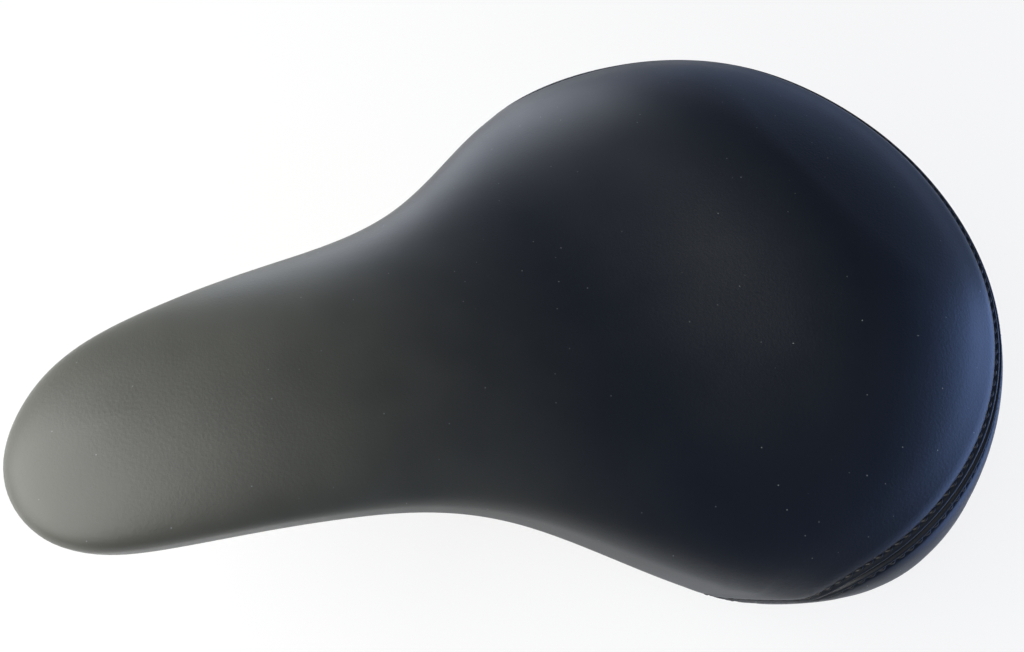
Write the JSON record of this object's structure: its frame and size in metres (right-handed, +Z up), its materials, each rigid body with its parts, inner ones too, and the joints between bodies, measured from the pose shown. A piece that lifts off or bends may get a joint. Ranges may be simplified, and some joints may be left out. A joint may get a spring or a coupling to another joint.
{
  "type": "bicycle saddle",
  "caption": "Padded bicycle saddle with a sewn rear band over a foam pad and a ribbed plastic base, carried on two bent steel rails.",
  "frame": {"origin": "on the rest surface under the rails' straight clamping zone, halfway along the saddle and on its centre plane", "axes": "+X towards the nose, +Y towards the rider's left, +Z up out of the seat"},
  "size_m": [0.27, 0.2052, 0.0872],
  "materials": {
    "cover": "matte fine-grained synthetic leather",
    "foam": "moulded polyurethane foam",
    "plastic": "moulded polypropylene",
    "rail_steel": "drawn and plated steel bar",
    "zinc": "zinc-plated steel"
  },
  "bodies": {
    "root": {"top_cover": "cover", "rear_band": "cover", "foam_pad": "foam", "base_shell": "plastic", "rail_left": "rail_steel", "rail_right": "rail_steel", "nose_rail_cap": "plastic", "nose_cap_screw_1": "zinc", "nose_cap_screw_2": "zinc", "tail_left_rail_cap": "plastic", "tail_left_cap_screw_1": "zinc", "tail_left_cap_screw_2": "zinc", "tail_right_rail_cap": "plastic", "tail_right_cap_screw_1": "zinc", "tail_right_cap_screw_2": "zinc", "staple_left_1": "zinc", "staple_right_1": "zinc", "staple_left_2": "zinc", "staple_right_2": "zinc", "staple_left_3": "zinc", "staple_right_3": "zinc", "staple_left_4": "zinc", "staple_right_4": "zinc", "staple_left_5": "zinc", "staple_right_5": "zinc", "staple_left_6": "zinc", "staple_right_6": "zinc", "staple_left_7": "zinc", "staple_right_7": "zinc", "staple_left_8": "zinc", "staple_right_8": "zinc", "staple_left_9": "zinc", "staple_right_9": "zinc", "staple_left_10": "zinc", "staple_right_10": "zinc", "staple_left_11": "zinc", "staple_right_11": "zinc", "staple_left_12": "zinc", "staple_right_12": "zinc"}
  },
  "joints": []
}
